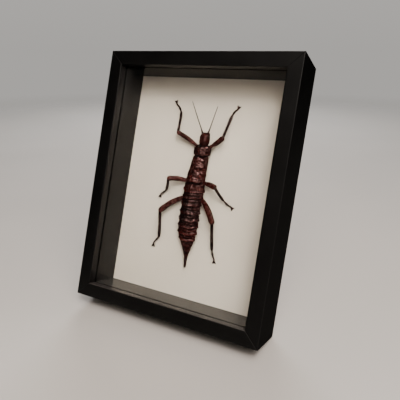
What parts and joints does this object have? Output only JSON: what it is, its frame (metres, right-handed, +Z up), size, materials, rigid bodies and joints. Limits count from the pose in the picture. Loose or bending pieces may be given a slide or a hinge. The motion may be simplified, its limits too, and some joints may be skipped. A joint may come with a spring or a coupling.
{
  "type": "framed giant stick insect specimen",
  "caption": "Dried spiny stick insect, legs spread, mounted on a white card behind glass in a deep black box frame that leans back on an easel strut.",
  "frame": {"origin": "centre of the bounding box in X and Y, at the floor that the case and its strut stand on", "axes": "+Z up, +Y back away from the glass, +X to the right as seen from the front; the case leans back 19.7 degrees"},
  "size_m": [0.2084, 0.136, 0.2667],
  "materials": {
    "frame_paint": "satin black lacquer on moulded fibreboard",
    "inner_wall": "matt black lining board",
    "glass": "clear picture glass",
    "card": "warm white mount board",
    "board": "brown hardboard",
    "hinge_plate": "black painted steel",
    "strut": "black covered easel board",
    "eye": "glossy dark eye",
    "antenna": "thin dark brown horn",
    "thigh_shell": "warm red-brown chitin, semi-gloss",
    "shin_shell": "near-black chitin, semi-gloss",
    "body_shell": "dark red-brown wrinkled chitin, semi-gloss"
  },
  "bodies": {
    "root": {"abdomen_1": "body_shell", "abdomen_10": "body_shell", "abdomen_2": "body_shell", "abdomen_3": "body_shell", "abdomen_4": "body_shell", "abdomen_5": "body_shell", "abdomen_6": "body_shell", "abdomen_7": "body_shell", "abdomen_8": "body_shell", "abdomen_9": "body_shell", "antenna_left": "antenna", "antenna_right": "antenna", "back_board": "board", "backing_card": "card", "coxa_front_left": "thigh_shell", "coxa_front_right": "thigh_shell", "coxa_hind_left": "thigh_shell", "coxa_hind_right": "thigh_shell", "coxa_mid_left": "thigh_shell", "coxa_mid_right": "thigh_shell", "eye_left": "eye", "eye_right": "eye", "femur_front_left": "thigh_shell", "femur_front_right": "thigh_shell", "femur_hind_left": "thigh_shell", "femur_hind_right": "thigh_shell", "femur_mid_left": "thigh_shell", "femur_mid_right": "thigh_shell", "glass": "glass", "head": "body_shell", "mesothorax": "body_shell", "metathorax": "body_shell", "ovipositor": "body_shell", "pronotum": "body_shell", "rail_bottom": "frame_paint", "rail_left": "frame_paint", "rail_right": "frame_paint", "rail_top": "frame_paint", "spacer_bottom": "inner_wall", "spacer_left": "inner_wall", "spacer_right": "inner_wall", "spacer_top": "inner_wall", "stand_hinge": "hinge_plate", "stand_strut": "strut", "tarsus_front_left": "shin_shell", "tarsus_front_right": "shin_shell", "tarsus_hind_left": "shin_shell", "tarsus_hind_right": "shin_shell", "tarsus_mid_left": "shin_shell", "tarsus_mid_right": "shin_shell", "tibia_front_left": "shin_shell", "tibia_front_right": "shin_shell", "tibia_hind_left": "shin_shell", "tibia_hind_right": "shin_shell", "tibia_mid_left": "shin_shell", "tibia_mid_right": "shin_shell"}
  },
  "joints": []
}
